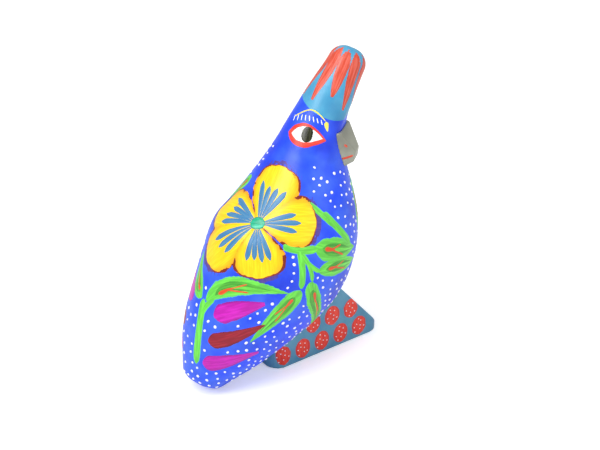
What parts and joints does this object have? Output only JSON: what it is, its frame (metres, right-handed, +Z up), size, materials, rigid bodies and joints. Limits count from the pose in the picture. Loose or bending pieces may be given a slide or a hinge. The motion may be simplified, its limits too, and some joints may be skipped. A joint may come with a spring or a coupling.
{
  "type": "guiro",
  "caption": "Hollow carved wooden bird on a wedge foot, painted with flowers and dots, with a rasp filed into one flank to be scraped with a stick.",
  "frame": {"origin": "middle of the foot's flat bottom", "axes": "+Z up, +X towards the breast, +Y towards the bird's left flank, where the rasp is"},
  "size_m": [0.1435, 0.0854, 0.2023],
  "materials": {
    "body": "painted cobalt blue, satin",
    "plume": "painted sky blue with red strokes, satin",
    "beak": "painted grey, satin",
    "foot": "painted grey blue with red ovals, satin",
    "dowel": "bare"
  },
  "bodies": {
    "root": {"right_body_shell": "body", "left_body_shell": "body", "seam_dowels": "dowel", "neck_dowel": "dowel", "head": "body", "plume": "plume", "plume_dowel": "dowel", "beak": "beak", "beak_dowel": "dowel", "foot": "foot", "foot_dowels": "dowel"}
  },
  "joints": []
}
